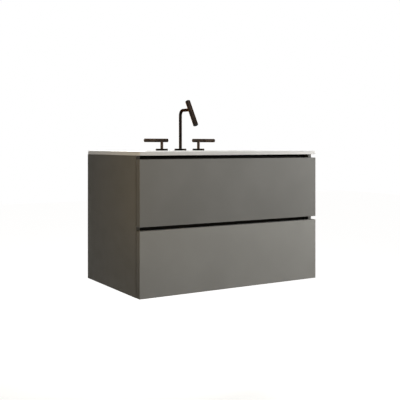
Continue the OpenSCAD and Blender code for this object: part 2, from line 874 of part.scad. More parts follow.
module worktop_basin() {
    seat_r = waste_flange_r + 2;
    color(stone_white) difference() {
        union() {
            translate([-body_w / 2, front_y, carcase_z])
                eased_board([body_w, body_d, top_t], top_ease, top_corner);
            bowl_lump(bowl_wall);
            behind_bowl(duct_w + 2 * duct_wall, boss_z, carcase_z + 1)
                bowl_lump(bowl_wall + duct_t + duct_wall);
            translate([0, waste_y, boss_z]) cylinder(r = boss_r, h = boss_h + bowl_wall / 2);
        }
        // the bowl, its floor falling to the waste
        hull() {
            bowl_rings(deck_z, floor_z, 0);
            translate([0, waste_y, seat_z]) cylinder(r = seat_r, h = 1, $fn = 32);
        }
        behind_bowl(duct_w, boss_z + duct_wall, carcase_z - duct_wall) difference() {
            bowl_lump(bowl_wall + duct_t);
            bowl_lump(bowl_wall);
        }
        translate([0, waste_y, seat_z - waste_flange_t])
            cylinder(r = waste_flange_r + fit, h = waste_flange_t + 1);
        translate([0, waste_y, boss_z - 1]) cylinder(r = waste_r + 1, h = seat_z - boss_z);
        at_overflow() {
            translate([0, 0, -overflow_seat])
                cylinder(r = overflow_flange_r + fit, h = 2 * cut_past);
            translate([0, 0, -bowl_wall - cut_past])
                cylinder(r = overflow_r, h = bowl_wall + 2 * cut_past);
        }
        for (x = [-tap_pitch, 0, tap_pitch])
            translate([x, tap_y, carcase_z - 1]) cylinder(r = tap_hole_r, h = top_t + 2);
    }
}

module overflow_ring() {
    wall = 2;
    proud = 1.6;
    out = overflow_r - fit;
    color(bronze_black) at_overflow() rotate_extrude() polygon([
        [out - wall, -overflow_len], [out, -overflow_len], [out, -overflow_seat],
        [overflow_flange_r, -overflow_seat], [overflow_flange_r, proud - 0.8],
        [overflow_flange_r - 0.8, proud], [out - wall, proud]
    ]);
}

// ---- Tap ----

tap_y = -tap_back;
tap_ease = 0.8;
spindle_drop = 20;    // handle stem below the worktop's surface
spout_drop = 30;      // spout column below the worktop's surface
washer_t = 3;
washer_r = 24;
nut_h = 8;
nut_flats = 36;
port_len = 22;
port_drop = 50;
port_bore_r = 4.5;
inlet_bore_r = 7;

// A flange with a softened upper edge, bored for what turns in it
module tap_flange(bore) {
    difference() {
        rotate_extrude() {
            square([flange_r, flange_h - 2 * tap_ease]);
            translate([0, flange_h - 2 * tap_ease]) square([flange_r - 2 * tap_ease, 2 * tap_ease]);
            translate([flange_r - 2 * tap_ease, flange_h - 2 * tap_ease]) intersection() {
                circle(2 * tap_ease);
                square(2 * tap_ease);
            }
        }
        translate([0, 0, -1]) cylinder(r = bore, h = flange_h + 2);
    }
}

module spout_flange() {
    color(bronze_black) translate([0, tap_y, deck_z]) tap_flange(spout_r + running);
}

module handle_flanges() {
    color(bronze_black) for (x = [-tap_pitch, tap_pitch])
        translate([x, tap_y, deck_z]) tap_flange(stem_r + running);
}

// A stem that goes down into its valve, and a bar across its top; out is +1 or -1
module cross_handle(out) {
    color(bronze_black) translate([out * tap_pitch, tap_y, deck_z]) {
        translate([0, 0, -spindle_drop]) cylinder(r = stem_r, h = spindle_drop + bar_z);
        translate([-out * bar_in, 0, bar_z]) rotate([0, out * 90, 0])
            eased_rod(bar_r, bar_in + bar_out, tap_ease);
    }
}

module hot_handle() { cross_handle(-1); }
module cold_handle() { cross_handle(1); }

module spout_tube() {
    color(bronze_black) translate([0, tap_y, deck_z]) {
        translate([0, 0, -spout_drop]) cylinder(r = spout_r, h = spout_drop + arm_z - bend_r);
        translate([0, -bend_r, arm_z - bend_r]) rotate([90, 0, 90])
            rotate_extrude(angle = 90) translate([bend_r, 0]) circle(spout_r);
        translate([0, -bend_r, arm_z]) rotate([90, 0, 0])
            cylinder(r = spout_r, h = head_reach - bend_r - arm_stop);
    }
}

arm_stop = 4;         // arm's end from the head's axis
nozzle_wall = 2.5;
nozzle_r = head_r - nozzle_wall;
nozzle_len = 10;

module at_head() {
    translate([0, tap_y - head_reach, deck_z + arm_z]) rotate([-head_tilt, 0, 0]) children();
}

module spout_head() {
    color(bronze_black) difference() {
        at_head() translate([0, 0, -head_below])
            eased_rod(head_r, head_below + head_above, tap_ease);
        // socket for the arm
        translate([0, tap_y - head_reach + arm_stop, deck_z + arm_z]) rotate([-90, 0, 0])
            cylinder(r = spout_r + fit / 2, h = 3 * head_r);
        at_head() translate([0, 0, -head_below - 1]) cylinder(r = nozzle_r, h = nozzle_len + 1);
    }
}

module aerator() {
    jet_r = 0.9;
    jet_pitch = 2.7;
    rim = 1.2;
    color(chrome_grey) at_head() translate([0, 0, -head_below + rim]) difference() {
        eased_rod(nozzle_r - fit, nozzle_len - rim, 0.4);
        translate([0, 0, -1]) {
            cylinder(r = jet_r, h = 5);
            for (ringed = [1, 2], turn = [0 : 60 / ringed : 359])
                rotate([0, 0, turn]) translate([ringed * jet_pitch, 0, 0])
                    cylinder(r = jet_r, h = 5);
        }
    }
}

// The bore at the top of a shank, for what turns in it
module spindle_bore(bore, depth) {
    translate([0, 0, -depth - fit]) cylinder(r = bore, h = depth + 1);
}

// A rod along X at the height of the linking outlets, from the shank's axis out; way is +1 or -1
module port_rod(way, r, more) {
    translate([0, 0, -port_drop]) rotate([0, way * 90, 0])
        cylinder(r = r, h = shank_r + port_len + more);
}

module valve_bodies() {
    color(brass) for (out = [-1, 1]) translate([out * tap_pitch, tap_y, deck_z]) difference() {
        union() {
            translate([0, 0, -shank_len]) cylinder(r = shank_r, h = shank_len);
            translate([0, 0, -shank_len - inlet_len]) cylinder(r = inlet_r, h = inlet_len);
            port_rod(-out, port_r, 0);
        }
        spindle_bore(stem_r + running, spindle_drop);
        port_rod(-out, port_bore_r, 1);
        translate([0, 0, -shank_len - inlet_len - 1])
            cylinder(r = inlet_bore_r, h = shank_len + inlet_len + 1 - port_drop);
    }
}

module spout_shank() {
    color(brass) translate([0, tap_y, deck_z]) difference() {
        union() {
            translate([0, 0, -shank_len]) cylinder(r = shank_r, h = shank_len);
            for (way = [-1, 1]) port_rod(way, port_r, 0);
        }
        spindle_bore(spout_r + running, spout_drop);
        for (way = [-1, 1]) port_rod(way, port_bore_r, 1);
    }
}

// Rubber under each nut: three for the tap and one for the waste
module rubber_washers() {
    color(rubber_black) {
        for (x = [-tap_pitch, 0, tap_pitch])
            translate([x, tap_y, carcase_z - washer_t]) ring(washer_r, shank_r + fit, washer_t);
        translate([0, waste_y, boss_z - washer_t]) ring(waste_nut_r, waste_r + fit, washer_t);
    }
}

module lock_nuts() {
    color(brass) for (x = [-tap_pitch, 0, tap_pitch])
        translate([x, tap_y, carcase_z - washer_t - nut_h])
            hex_nut(nut_flats, shank_r + fit, nut_h);
}

// ---- Waste and trap ----

waste_nut_r = 30;
waste_nut_h = 10;
waste_end_z = seat_z - waste_len;
plug_stem_r = 3;
plug_stem = 36;
hub_r = 6;
hub_h = 12;
hub_drop = 32;
hub_z = seat_z - hub_drop;
trap_neck = 16;
slip_r = 27;
slip_h = 22;
outlet_z = waste_end_z - trap_neck - trap_h / 2;
outlet_out = 24;      // trap's outlet boss beyond its body
outlet_y = waste_y + trap_r + outlet_out;
cup_z = waste_end_z - trap_neck - trap_h;
collar_h = 16;

module waste_body() {
    spoke = 3;
    window_w = 16;
    window_h = 8;
    window_rise = 2;      // windows above the boss's lower face
    color(bronze_black) translate([0, waste_y, 0]) difference() {
        union() {
            rotate_extrude() polygon([
                [waste_bore_r, waste_end_z], [waste_r, waste_end_z],
                [waste_r, seat_z - waste_flange_t], [waste_flange_r, seat_z - waste_flange_t],
                [waste_flange_r, seat_z], [waste_bore_r + 4, seat_z], [waste_bore_r, seat_z - 3]
            ]);
            translate([0, 0, hub_z]) cylinder(r = hub_r, h = hub_h);
            for (turn = [0, 120, 240]) rotate([0, 0, turn])
                translate([0, -spoke / 2, hub_z + 2])
                    cube([waste_bore_r + 1, spoke, hub_h / 2]);
        }
        translate([0, 0, hub_z - 1]) cylinder(r = plug_stem_r + running, h = hub_h + 2);
        // windows that let the overflow in
        translate([-waste_r - cut_past, -window_w / 2, boss_z + window_rise])
            cube([2 * (waste_r + cut_past), window_w, window_h]);
    }
}

// A shallow dome on a stem, just clear of its seat
module waste_plug() {
    plug_t = 3;
    crown = 2.5;
    dome_r = (plug_r * plug_r + crown * crown) / (2 * crown);
    color(bronze_black) translate([0, waste_y, seat_z + air]) {
        cylinder(r = plug_r, h = plug_t);
        intersection() {
            translate([0, 0, plug_t + crown - dome_r]) sphere(r = dome_r, $fn = 128);
            translate([0, 0, plug_t - 0.5]) cylinder(r = plug_r, h = crown + 1);
        }
        translate([0, 0, -plug_stem]) cylinder(r = plug_stem_r, h = plug_stem + 1);
    }
}

module waste_nut() {
    color(brass) translate([0, waste_y, boss_z - washer_t - waste_nut_h])
        hex_nut(2 * waste_nut_r * cos(30), waste_r + fit, waste_nut_h);
}

// A ribbed hand nut standing on the origin
module slip_nut(bore) {
    ribs = 16;
    difference() {
        union() {
            eased_rod(slip_r, slip_h, 1.5);
            for (i = [0 : ribs - 1]) rotate([0, 0, i * 360 / ribs])
                translate([slip_r - 0.4, 0, 2]) cylinder(r = 1.6, h = slip_h - 4, $fn = 16);
        }
        translate([0, 0, -1]) cylinder(r = bore, h = slip_h + 2);
    }
}

module slip_nuts() {
    color(trap_white) {
        translate([0, waste_y, waste_end_z - trap_neck + air]) slip_nut(waste_r + fit);
        translate([0, outlet_y - slip_h / 2, outlet_z]) rotate([-90, 0, 0])
            slip_nut(boss_out_r + fit);
    }
}

boss_out_r = 20;      // trap's outlet boss, and the sleeve on the pipe
trap_wall = 3;
spigot_inset = 4;     // spigot within the trap's wall
spigot_rest = 3;      // spigot above the foot of the cup's collar
spigot_r = trap_r - spigot_inset;
spigot_z = cup_z - collar_h + spigot_rest;
dip_r = 13;           // tube that leads the water down into the cup
dip_bore_r = 11;

module trap_body() {
    shoulder = 8;
    roof = 2 * trap_wall;
    top_z = cup_z + trap_h;
    dip_z = cup_z - cup_h / 2;
    color(trap_white) translate([0, waste_y, 0]) {
        difference() {
            union() {
                rotate_extrude() {
                    translate([0, top_z]) square([waste_r, trap_neck]);
                    translate([0, cup_z]) square([trap_r, trap_h - shoulder]);
                    translate([0, cup_z]) square([trap_r - shoulder, trap_h]);
                    translate([trap_r - shoulder, top_z - shoulder]) circle(shoulder);
                    translate([0, spigot_z]) square([spigot_r, collar_h]);
                }
                translate([0, 0, outlet_z]) rotate([-90, 0, 0])
                    cylinder(r = boss_out_r, h = outlet_y - waste_y);
            }
            translate([0, 0, spigot_z - 1]) cylinder(r = spigot_r - 5, h = collar_h + 1);
            translate([0, 0, cup_z + trap_wall])
                cylinder(r = trap_r - trap_wall, h = trap_h - trap_wall - roof);
            translate([0, dip_r, outlet_z]) rotate([-90, 0, 0])
                cylinder(r = pipe_r - pipe_wall, h = outlet_y - waste_y);
            translate([0, 0, top_z]) cylinder(r = waste_bore_r, h = trap_neck + 1);
            translate([0, 0, top_z - roof - 1]) cylinder(r = dip_bore_r, h = roof + 2);
        }
        translate([0, 0, dip_z]) ring(dip_r, dip_bore_r, top_z - roof / 2 - dip_z);
    }
}

// The cup that unscrews for cleaning: a knurled collar and a tapering bowl
module trap_cup() {
    ribs = 20;
    cup_r = trap_r - 5;
    tip_r = 15;
    wall = 2;
    overlap = 0.1;
    inner_z = cup_z - cup_h + tip_r + wall;
    color(trap_white) translate([0, waste_y, 0]) difference() {
        union() {
            translate([0, 0, cup_z - collar_h]) cylinder(r = trap_r + 2, h = collar_h);
            for (i = [0 : ribs - 1]) rotate([0, 0, i * 360 / ribs])
                translate([trap_r + 1.6, 0, cup_z - collar_h + 2])
                    cylinder(r = 1.6, h = collar_h - 4, $fn = 16);
            translate([0, 0, cup_z - cup_h + tip_r])
                cylinder(r1 = tip_r + 3, r2 = cup_r, h = cup_h - tip_r - collar_h);
            translate([0, 0, cup_z - cup_h + 3]) cylinder(r1 = tip_r, r2 = tip_r + 3, h = tip_r - 3);
            translate([0, 0, cup_z - cup_h]) cylinder(r1 = tip_r - 6, r2 = tip_r, h = 3);
        }
        translate([0, 0, spigot_z]) cylinder(r = spigot_r + fit, h = collar_h);
        translate([0, 0, inner_z])
            cylinder(r1 = tip_r, r2 = cup_r - 2 * wall, h = spigot_z + overlap - inner_z);
    }
}

module outlet_pipe() {
    color(trap_white) translate([0, outlet_y, outlet_z]) rotate([-90, 0, 0]) difference() {
        union() {
            cylinder(r = pipe_r, h = -outlet_y);
            cylinder(r = boss_out_r, h = slip_h / 2);
        }
        translate([0, 0, -1]) cylinder(r = pipe_r - pipe_wall, h = 2 - outlet_y);
    }
}

left_side_panel();
right_side_panel();
bottom_panel();
front_rail();
middle_rail();
back_top_rail();
back_low_rail();
top_grip_channel();
middle_grip_channel();
cam_locks();
cam_bolts();
wall_plates();
hanger_bodies();
hanger_hooks();
hanger_screws();
worktop_basin();
upper_runner_rails();
lower_runner_rails();
upper_front();
upper_box_front();
upper_box_sides();
upper_box_back();
upper_box_floor();
upper_pipe_guard();
upper_runner_slides();
upper_front_screws();
upper_bumpers();
lower_front();
lower_box_front();
lower_box_sides();
lower_box_back();
lower_box_floor();
lower_runner_slides();
lower_front_screws();
lower_bumpers();
upper_runner_middles();
lower_runner_middles();
upper_outer_cages();
upper_inner_cages();
lower_outer_cages();
lower_inner_cages();
spout_flange();
handle_flanges();
spout_tube();
spout_head();
aerator();
hot_handle();
cold_handle();
valve_bodies();
spout_shank();
rubber_washers();
lock_nuts();
waste_body();
waste_plug();
waste_nut();
slip_nuts();
trap_body();
trap_cup();
outlet_pipe();
overflow_ring();
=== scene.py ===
import math
import bmesh
import bpy
from mathutils import Matrix, Vector


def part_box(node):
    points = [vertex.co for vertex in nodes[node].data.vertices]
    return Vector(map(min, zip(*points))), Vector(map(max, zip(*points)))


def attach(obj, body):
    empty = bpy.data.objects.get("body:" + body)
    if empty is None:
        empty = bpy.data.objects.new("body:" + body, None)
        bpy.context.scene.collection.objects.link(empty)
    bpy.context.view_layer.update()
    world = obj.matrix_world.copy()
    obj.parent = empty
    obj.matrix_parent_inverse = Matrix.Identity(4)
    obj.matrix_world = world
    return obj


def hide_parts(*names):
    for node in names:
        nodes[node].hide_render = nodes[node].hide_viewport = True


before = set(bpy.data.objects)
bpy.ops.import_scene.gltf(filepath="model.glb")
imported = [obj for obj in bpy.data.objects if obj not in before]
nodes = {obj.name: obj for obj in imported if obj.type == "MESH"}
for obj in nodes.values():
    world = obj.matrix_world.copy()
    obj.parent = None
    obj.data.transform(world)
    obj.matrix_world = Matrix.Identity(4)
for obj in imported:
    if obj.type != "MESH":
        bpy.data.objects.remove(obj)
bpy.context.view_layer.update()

# lengths are in metres, angles in degrees and colours in sRGB hex

scene = bpy.context.scene
scene.view_settings.view_transform = "Standard"
print("frame loaded,", len(nodes), "nodes")

# camera: level, turned to show the left side, its lens shifted down like a view camera's

cameraView = {"lens": 63.36, "sensor": 36, "lift": -0.1358, "place": (-1.677, -3.034, 0.1073),
              "turn": (90, 0, -31.08)}
lens = bpy.data.cameras.new("viewCamera")
lens.lens = cameraView["lens"]
lens.sensor_width = cameraView["sensor"]
lens.shift_y = cameraView["lift"]
viewCamera = bpy.data.objects.new("viewCamera", lens)
viewCamera.location = cameraView["place"]
viewCamera.rotation_euler = [math.radians(angle) for angle in cameraView["turn"]]
scene.collection.objects.link(viewCamera)
scene.camera = viewCamera


def toLinear(code):  # sRGB hex to linear
    parts = [int(code[i:i + 2], 16) / 255 for i in (1, 3, 5)]
    linear = [c / 12.92 if c <= 0.04045 else ((c + 0.055) / 1.055) ** 2.4 for c in parts]
    return (*linear, 1)


def addNode(tree, kind, settings=None):
    # A node with its settings: fields, values for its sockets by name or number, hex colours, and
    # other nodes to link from, each by its first output in use.
    node = tree.nodes.new("ShaderNode" + kind)
    for name, value in (settings or {}).items():
        if isinstance(name, str) and name not in node.inputs:
            setattr(node, name, value)
            continue
        if isinstance(value, bpy.types.Node):
            value = next(out for out in value.outputs if out.enabled)
        if isinstance(value, bpy.types.NodeSocket):
            tree.links.new(value, node.inputs[name])
        else:
            value = toLinear(value) if isinstance(value, str) else value
            node.inputs[name].default_value = value
    return node


def newFinish(name):  # an empty finish: the material, its tree, and object coordinates in metres
    mat = bpy.data.materials.new(name)
    mat.use_nodes = True
    mat.node_tree.nodes.clear()
    return mat, mat.node_tree, addNode(mat.node_tree, "TexCoord").outputs["Object"]


def edgeGap(tree, place, low, high, bothSides=False):
    # Distance from a board's nearest edge: the middle one of the distances from its three pairs of
    # faces. With bothSides, a board and its twin on the other side share the box of one of them.
    along = list(addNode(tree, "SeparateXYZ", {"Vector": place}).outputs)
    if bothSides:
        along[0] = addNode(tree, "Math", {"operation": "ABSOLUTE", 0: along[0]})
    gaps = []
    for axis in range(3):
        middle, half = (low[axis] + high[axis]) / 2, (high[axis] - low[axis]) / 2
        away = addNode(tree, "Math", {"operation": "SUBTRACT", 0: along[axis], 1: middle})
        away = addNode(tree, "Math", {"operation": "ABSOLUTE", 0: away})
        gaps.append(addNode(tree, "Math", {"operation": "SUBTRACT", 0: half, 1: away}))
    x, y, z = gaps
    larger = addNode(tree, "Math", {"operation": "MAXIMUM", 0: x, 1: y})
    smaller = addNode(tree, "Math", {"operation": "MINIMUM", 0: x, 1: y})
    larger = addNode(tree, "Math", {"operation": "MINIMUM", 0: larger, 1: z})
    return addNode(tree, "Math", {"operation": "MAXIMUM", 0: smaller, 1: larger})


def dress(mat, *names):  # gives a finish to nodes of the frame
    for name in names:
        mesh = nodes[name].data
        mesh.materials.clear()
        mesh.materials.append(mat)


# lacquered fronts and sides, with painted light and shade: tone scales the grey, a lighter or
# darker copy of one lacquer for each board as painted light and shade; edges scales it again on the
# cut edges, as painted shade; and the fade is the painted shade and light, the share that it loses
# at the foot and gains at the head

lacquer = {"grey": "#8b8a86", "deep": "#878682", "cloud": 0.1667, "sheen": 0.05,
           "roughness": (0.58, 0.66), "peel": 0.004, "peelDepth": 0.0004, "peelShows": 0.06,
           "rub": "#979692", "rubWidth": 0.0022, "rubPatch": 0.0294, "rubShows": 0.25,
           "rubPolish": 0.15,
           "boards": {
               # tone, edges and fade here are painted light and shade: the side panels are painted
               # darker, the lower front lighter
               "upper_front": {"name": "UpperFront", "tone": 0.96, "edges": 0.7, "paintedShadeFade": 0.1},
               "lower_front": {"name": "LowerFront", "tone": 1.17, "edges": 0.6, "paintedShadeFade": 0.1},
               "left_side_panel": {"name": "LeftSide", "tone": 0.77, "edges": 0.86, "paintedShadeFade": 0.02},
               "right_side_panel": {"name": "RightSide", "tone": 0.77, "edges": 0.86,
                                    "paintedShadeFade": 0.02}}}


def lacquerFinish(node, board):
    # Dead-matt polyurethane lacquer, sprayed on MDF: an even warm grey that hardly reflects. Each
    # board's grey is made lighter or darker as painted light and shade, with painted shade low down
    # and on the cut edges, and painted light high up. Its peel, finer than this in life, breaks up
    # what gloss there is, and handling leaves the arrises a little paler and smoother.
    mat, tree, place = newFinish("lacquer" + board["name"])
    low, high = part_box(node)
    tone, paintedShadeFade = board["tone"], board["paintedShadeFade"]
    cloud = addNode(tree, "TexNoise", {"Vector": place, "Scale": 1 / lacquer["cloud"], "Detail": 2})
    cloud = addNode(tree, "MapRange", {"Value": cloud, "From Min": 0.35, "From Max": 0.65})
    grey = addNode(tree, "Mix", {"data_type": "RGBA", 0: cloud, 6: lacquer["grey"],
                                 7: lacquer["deep"]})
    # painted shade and light: the board's painted tone, darker at the foot and lighter at the head
    height = addNode(tree, "SeparateXYZ", {"Vector": place}).outputs["Z"]
    shade = addNode(tree, "MapRange", {"Value": height, "From Min": low.z, "From Max": high.z,
                                       "To Min": tone * (1 - paintedShadeFade), "To Max": tone * (1 + paintedShadeFade)})
    # painted shade on the cut edges, which sit at the ends and in the gaps: whatever doesn't face
    # along the board's thickness
    thin = min(range(3), key=lambda axis: high[axis] - low[axis])
    normal = addNode(tree, "TexCoord").outputs["Normal"]
    facing = addNode(tree, "SeparateXYZ", {"Vector": normal}).outputs[thin]
    facing = addNode(tree, "Math", {"operation": "ABSOLUTE", 0: facing})
    paintedEdgeShade = addNode(tree, "MapRange", {"Value": facing, "From Min": 0.5, "From Max": 0.85,
                                     "To Min": board["edges"], "To Max": 1})
    shade = addNode(tree, "Math", {"operation": "MULTIPLY", 0: shade, 1: paintedEdgeShade})
    grey = addNode(tree, "HueSaturation", {"Value": shade, "Color": grey})
    # the rub along the arrises, in patches
    gap = edgeGap(tree, place, low, high)
    rub = addNode(tree, "MapRange", {"Value": gap, "From Min": 0, "From Max": lacquer["rubWidth"],
                                     "To Min": lacquer["rubShows"], "To Max": 0})
    patches = addNode(tree, "TexNoise", {"Vector": place, "Scale": 1 / lacquer["rubPatch"],
                                         "Detail": 2})
    patches = addNode(tree, "MapRange", {"Value": patches, "From Min": 0.3, "From Max": 0.7,
                                         "To Min": 0.35, "To Max": 1})
    worn = addNode(tree, "Math", {"operation": "MULTIPLY", 0: rub, 1: patches})
    colour = addNode(tree, "Mix", {"data_type": "RGBA", 0: worn, 6: grey, 7: lacquer["rub"]})
    sheen = addNode(tree, "TexNoise", {"Vector": place, "Scale": 1 / lacquer["sheen"], "Detail": 2})
    rough = addNode(tree, "MapRange", {"Value": sheen, "From Min": 0.3, "From Max": 0.7,
                                       "To Min": lacquer["roughness"][0],
                                       "To Max": lacquer["roughness"][1]})
    rough = addNode(tree, "Math", {"operation": "MULTIPLY_ADD", 0: worn, 1: -lacquer["rubPolish"],
                                   2: rough})
    peel = addNode(tree, "TexNoise", {"Vector": place, "Scale": 1 / lacquer["peel"], "Detail": 1})
    bump = addNode(tree, "Bump", {"Height": peel, "Strength": lacquer["peelShows"],
                                  "Distance": lacquer["peelDepth"]})
    shader = addNode(tree, "BsdfPrincipled", {"Base Color": colour, "Roughness": rough,
                                              "Normal": bump, "IOR": 1.5,
                                              "Specular IOR Level": 0.08})
    addNode(tree, "OutputMaterial", {"Surface": shader})
    return mat


for node, board in lacquer["boards"].items():
    dress(lacquerFinish(node, board), node)
print("lacquer done")

# boards of the carcase

carcase = {"pale": "#6f6d68", "dark": "#66645f", "pearl": 0.0025, "pearlDepth": 0.0004,
           "pearlShows": 0.16, "roughness": (0.42, 0.56)}


def carcaseFinish():
    # Chipboard faced with melamine, pressed against a pearl-textured plate: a dull grey with a
    # grainy sheen, drawn a little coarser than it is so that it shows.
    mat, tree, place = newFinish("pearlMelamine")
    pearl = addNode(tree, "TexNoise", {"Vector": place, "Scale": 1 / carcase["pearl"], "Detail": 3})
    grain = addNode(tree, "MapRange", {"Value": pearl, "From Min": 0.35, "From Max": 0.65})
    colour = addNode(tree, "Mix", {"data_type": "RGBA", 0: grain, 6: carcase["pale"],
                                   7: carcase["dark"]})
    rough = addNode(tree, "MapRange", {"Value": pearl, "From Min": 0.3, "From Max": 0.7,
                                       "To Min": carcase["roughness"][0],
                                       "To Max": carcase["roughness"][1]})
    bump = addNode(tree, "Bump", {"Height": pearl, "Strength": carcase["pearlShows"],
                                  "Distance": carcase["pearlDepth"]})
    shader = addNode(tree, "BsdfPrincipled", {"Base Color": colour, "Roughness": rough,
                                              "Normal": bump, "IOR": 1.5,
                                              "Specular IOR Level": 0.4})
    addNode(tree, "OutputMaterial", {"Surface": shader})
    return mat


dress(carcaseFinish(), "bottom_panel", "front_rail", "middle_rail", "back_top_rail",
      "back_low_rail")

# boards of the drawer boxes: drawn is how slim a thread is for its length, and the joint is the
# line between a board's face and its edge band

drawer = {"pale": "#a09d97", "dark": "#95928c", "thread": 0.0013, "drawn": 0.06,
          "weaveDepth": 0.0003, "weaveShows": 0.12, "roughness": (0.46, 0.6),
          "joint": "#7c7a74", "jointPlace": 0.0011, "jointHalf": 0.00035, "jointShows": 0.7,
          "sideThick": 0.015}


def drawerFinish(name, low, high, bothSides=False, flat=False):
    # Chipboard faced with melamine, pressed with a woven linen print, its edges banded to match:
    # pale grey, fine crossing threads, and a hairline joint just inside each edge. flat is for a
    # board that lies down.
    mat, tree, place = newFinish("linenMelamine" + name)
    drawn = drawer["drawn"]
    stretches = ((1, 1, drawn), (drawn, drawn, 1))  # threads that stand, and threads that lie
    if flat:
        stretches = ((1, drawn, 1), (drawn, 1, 1))
    strands = []
    for stretch in stretches:
        laid = addNode(tree, "Mapping", {"Vector": place, "Scale": stretch})
        strands.append(addNode(tree, "TexNoise", {"Vector": laid, "Scale": 1 / drawer["thread"],
                                                  "Detail": 2}))
    weave = addNode(tree, "Math", {"operation": "MAXIMUM", 0: strands[0], 1: strands[1]})
    grain = addNode(tree, "MapRange", {"Value": weave, "From Min": 0.45, "From Max": 0.7})
    face = addNode(tree, "Mix", {"data_type": "RGBA", 0: grain, 6: drawer["pale"],
                                 7: drawer["dark"]})
    gap = edgeGap(tree, place, low, high, bothSides)
    joint = addNode(tree, "Math", {"operation": "COMPARE", 0: gap, 1: drawer["jointPlace"],
                                   2: drawer["jointHalf"]})
    joint = addNode(tree, "Math", {"operation": "MULTIPLY", 0: joint, 1: drawer["jointShows"]})
    colour = addNode(tree, "Mix", {"data_type": "RGBA", 0: joint, 6: face, 7: drawer["joint"]})
    rough = addNode(tree, "MapRange", {"Value": weave, "From Min": 0.4, "From Max": 0.7,
                                       "To Min": drawer["roughness"][0],
                                       "To Max": drawer["roughness"][1]})
    bump = addNode(tree, "Bump", {"Height": weave, "Strength": drawer["weaveShows"],
                                  "Distance": drawer["weaveDepth"]})
    shader = addNode(tree, "BsdfPrincipled", {"Base Color": colour, "Roughness": rough,
                                              "Normal": bump, "IOR": 1.5,
                                              "Specular IOR Level": 0.4})
    addNode(tree, "OutputMaterial", {"Surface": shader})
    return mat


for level in ("upper", "lower"):
    for part in ("front", "back", "floor", "sides"):
        node = level + "_box_" + part
        low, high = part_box(node)
        if part == "sides":
            low.x = high.x - drawer["sideThick"]  # the box of the side on the right
        name = level.title() + part.title()
        dress(drawerFinish(name, low, high, part == "sides", part == "floor"), node)
dress(drawerFinish("Guard", *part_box("upper_pipe_guard")), "upper_pipe_guard")
print("boards done")

# Metals: colours are two tones in clouds of the size cloud, and lines is the spacing of fine lines,
# drawn out along an axis where stretch is small. rim tints the metal where it is seen at a slant,
# and on names its nodes.

lineDepth = 0.0002  # for every metal
bronze = {"colours": ("#13110f", "#241e1a"), "lines": 0.0022, "linesShow": 0.06,
          "roughness": (0.2, 0.34), "cloud": 0.03, "rim": "#bfb0a2"}
metals = {
    # Brass, brushed and then coated dark bronze in a vacuum: nearly black even at its rims, as the
    # coat soaks up light, with a warm glint where the brush lines catch a lamp. The handles are
    # painted paler, a painted reflection of the pale worktop below them, and the spout's head is
    # painted a little paler too, as a painted reflection.
    "brushedBronzeUpright": {**bronze, "stretch": (1, 1, 0.06), "on": ("spout_tube", "waste_body")},
    # painted reflection: the handles' bronze drawn paler than the upright's
    "brushedBronzeBarsPaintedReflection": {**bronze, "colours": ("#2e2621", "#463c34"), "stretch": (0.06, 1, 1),
                          "on": ("hot_handle", "cold_handle")},
    "brushedBronzeFlanges": {**bronze, "stretch": (0.4, 0.4, 0.4),
                             "on": ("spout_flange", "handle_flanges", "waste_plug",
                                    "overflow_ring")},
    # painted reflection: the head's bronze drawn a little paler than the upright's
    "brushedBronzeHeadPaintedReflection": {**bronze, "colours": ("#241e1a", "#2e2621"), "stretch": (1, 1, 0.06),
                          "on": ("spout_head",)},
    # Aluminium, extruded, etched and anodised black: a satin near-black with fine die lines.
    "blackAnodisedAluminium": {"colours": ("#191815", "#211f1b"), "lines": 0.003, "linesShow": 0.08,
                               "roughness": (0.36, 0.5), "cloud": 0.03, "stretch": (0.02, 1, 1),
                               "on": ("top_grip_channel", "middle_grip_channel")},
    # Mild steel, cold rolled, pressed and zinc plated: blue-white, cloudy and faintly lined.
    "zincPlatedSteel": {"colours": ("#b4b8bb", "#9a9ea2"), "lines": 0.002, "linesShow": 0.06,
                        "roughness": (0.28, 0.46), "cloud": 0.018, "stretch": (1, 0.03, 1),
                        "on": ("cam_locks", "wall_plates", "hanger_bodies", "hanger_hooks",
                               "upper_runner_rails", "upper_runner_middles", "upper_runner_slides",
                               "lower_runner_rails", "lower_runner_middles",
                               "lower_runner_slides")},
    # Free-cutting brass, turned: yellow and bright, with the tool's rings round each piece.
    "turnedBrass": {"colours": ("#b39455", "#8f7340"), "lines": 0.0012, "linesShow": 0.12,
                    "roughness": (0.2, 0.36), "cloud": 0.02, "stretch": (0.05, 0.05, 1),
                    "on": ("valve_bodies", "spout_shank", "lock_nuts", "waste_nut")},
    # Steel, polished and chrome plated: bright and a little blue, with hairline scratches.
    "chromePlatedSteel": {"colours": ("#d3d6d8", "#c6cacd"), "lines": 0.0015, "linesShow": 0.03,
                          "roughness": (0.1, 0.22), "cloud": 0.03, "stretch": (1, 0.08, 0.4),
                          "on": ("cam_bolts", "hanger_screws", "upper_front_screws",
                                 "lower_front_screws", "upper_outer_cages", "upper_inner_cages",
                                 "lower_outer_cages", "lower_inner_cages")}}


